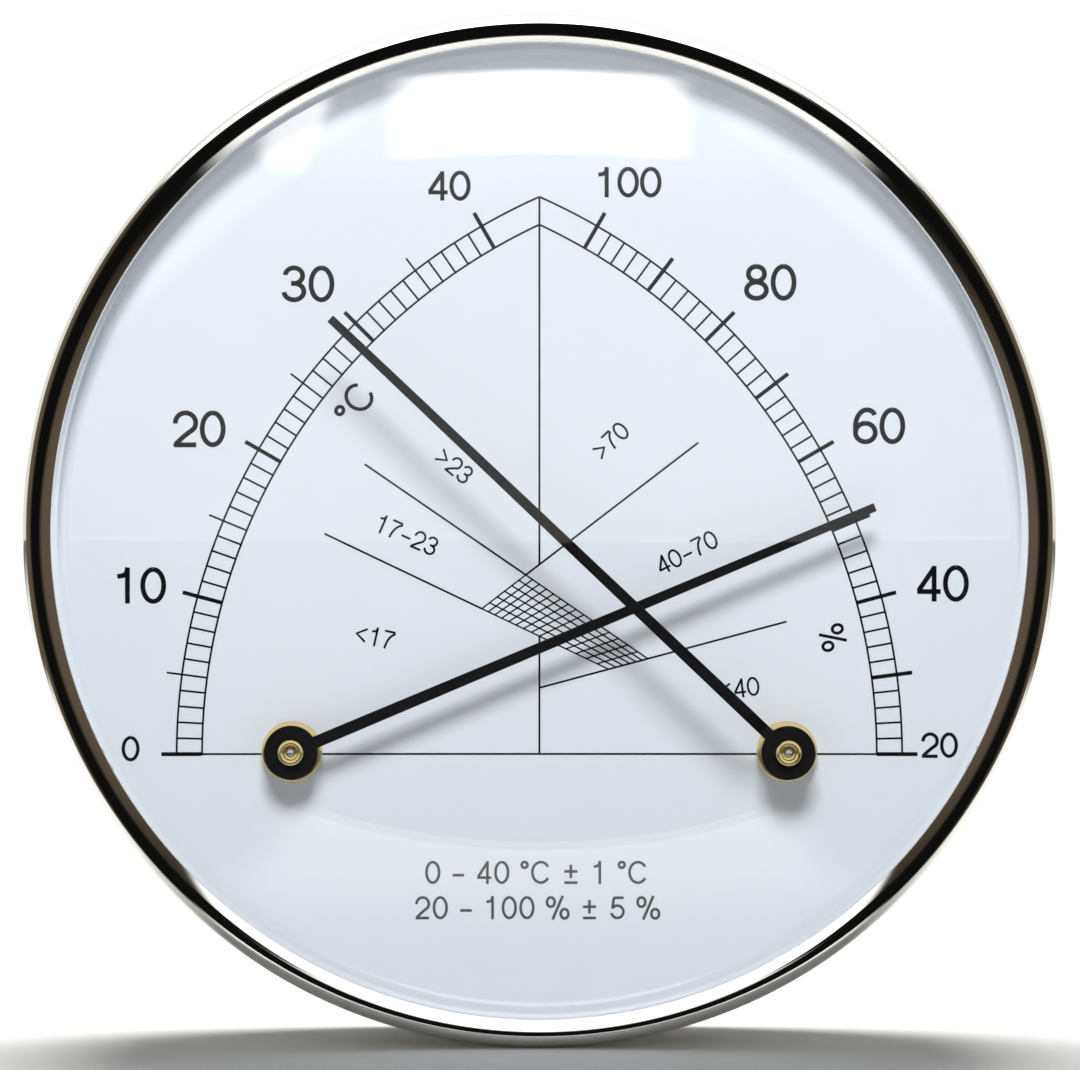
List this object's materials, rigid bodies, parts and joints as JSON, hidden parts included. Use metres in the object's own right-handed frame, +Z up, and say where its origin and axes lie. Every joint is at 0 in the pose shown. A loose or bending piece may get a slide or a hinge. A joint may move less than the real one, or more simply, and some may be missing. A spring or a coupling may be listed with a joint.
{
  "type": "thermo-hygrometer",
  "caption": "Round wall thermo-hygrometer: steel case with polished bezel, domed glass, white dial, crossed pointers on brass posts, back cover with keyhole and air slots.",
  "frame": {"origin": "centre of the back cover's flat middle, on the wall", "axes": "+Z up the dial, +X to the reader's right, +Y into the wall, so that the dial faces -Y"},
  "size_m": [0.103, 0.0339, 0.103],
  "materials": {
    "polished_steel": "polished stainless steel",
    "brushed_steel": "turned, fine circular brushing",
    "clear_glass": "clear, polished, domed",
    "gasket_rubber": "translucent pale rubber",
    "white_plastic": "satin white",
    "dial_white": "satin cool white lacquer",
    "black_plastic": "fine eroded texture",
    "black_lacquer": "matt black lacquer",
    "brass": "turned and bright",
    "zinc_steel": "zinc plated",
    "spring_steel": "bright drawn",
    "bimetal": "rolled strip",
    "fibre": "bundle of fine synthetic fibres"
  },
  "bodies": {
    "root": {"bezel_ring": "polished_steel", "crystal": "clear_glass", "crystal_gasket": "gasket_rubber", "spacer_ring": "white_plastic", "dial_plate": "dial_white", "support_ring": "black_plastic", "case_drum": "brushed_steel", "back_cover": "black_plastic", "cover_screw_1": "zinc_steel", "cover_screw_2": "zinc_steel", "cover_screw_3": "zinc_steel", "humidity_post": "brass", "humidity_nut": "brass", "humidity_bearing": "brass", "humidity_bracket": "zinc_steel", "humidity_strand": "fibre", "return_spring": "spring_steel", "lever_pin": "brass", "temperature_post": "brass", "temperature_nut": "brass", "temperature_bearing": "brass", "temperature_bracket": "zinc_steel", "bimetal_coil": "bimetal", "coil_stud": "brass"},
    "humidity_hand": {"humidity_pointer": "black_lacquer", "humidity_bush": "brass", "humidity_arbor": "spring_steel", "strand_drum": "brass"},
    "temperature_hand": {"temperature_pointer": "black_lacquer", "temperature_bush": "brass", "temperature_arbor": "spring_steel", "coil_collet": "brass"},
    "humidity_adjuster": {"adjuster_screw": "brass"},
    "strand_anchor": {"anchor_lever": "zinc_steel"}
  },
  "joints": [
    {"name": "humidity_swing", "type": "hinge", "parent": "root", "child": "humidity_hand", "pos_m": [-0.0249, -0.0208, -0.0222], "axis": [0, -1, 0], "range_deg": [-19.8, 37.2], "stiffness_Nm_per_rad": 0.01, "deforming": ["return_spring"]},
    {"name": "temperature_swing", "type": "hinge", "parent": "root", "child": "temperature_hand", "pos_m": [0.0249, -0.0217, -0.0222], "axis": [0, 1, 0], "range_deg": [-44.5, 17.5], "stiffness_Nm_per_rad": 0.01, "deforming": ["bimetal_coil"]},
    {"name": "adjuster_turn", "type": "hinge", "parent": "root", "child": "humidity_adjuster", "pos_m": [-0.02015, -0.005, 0.03], "axis": [0, -1, 0], "range_deg": [-45, 45]},
    {"name": "anchor_tilt", "type": "hinge", "parent": "root", "child": "strand_anchor", "pos_m": [-0.02015, -0.0095, 0.021], "axis": [0, -1, 0], "range_deg": [-3.5, 3.5], "deforming": ["humidity_strand"]}
  ],
  "couplings": [
    {"joint": "anchor_tilt", "follows": "adjuster_turn", "ratio": 0.069}
  ]
}
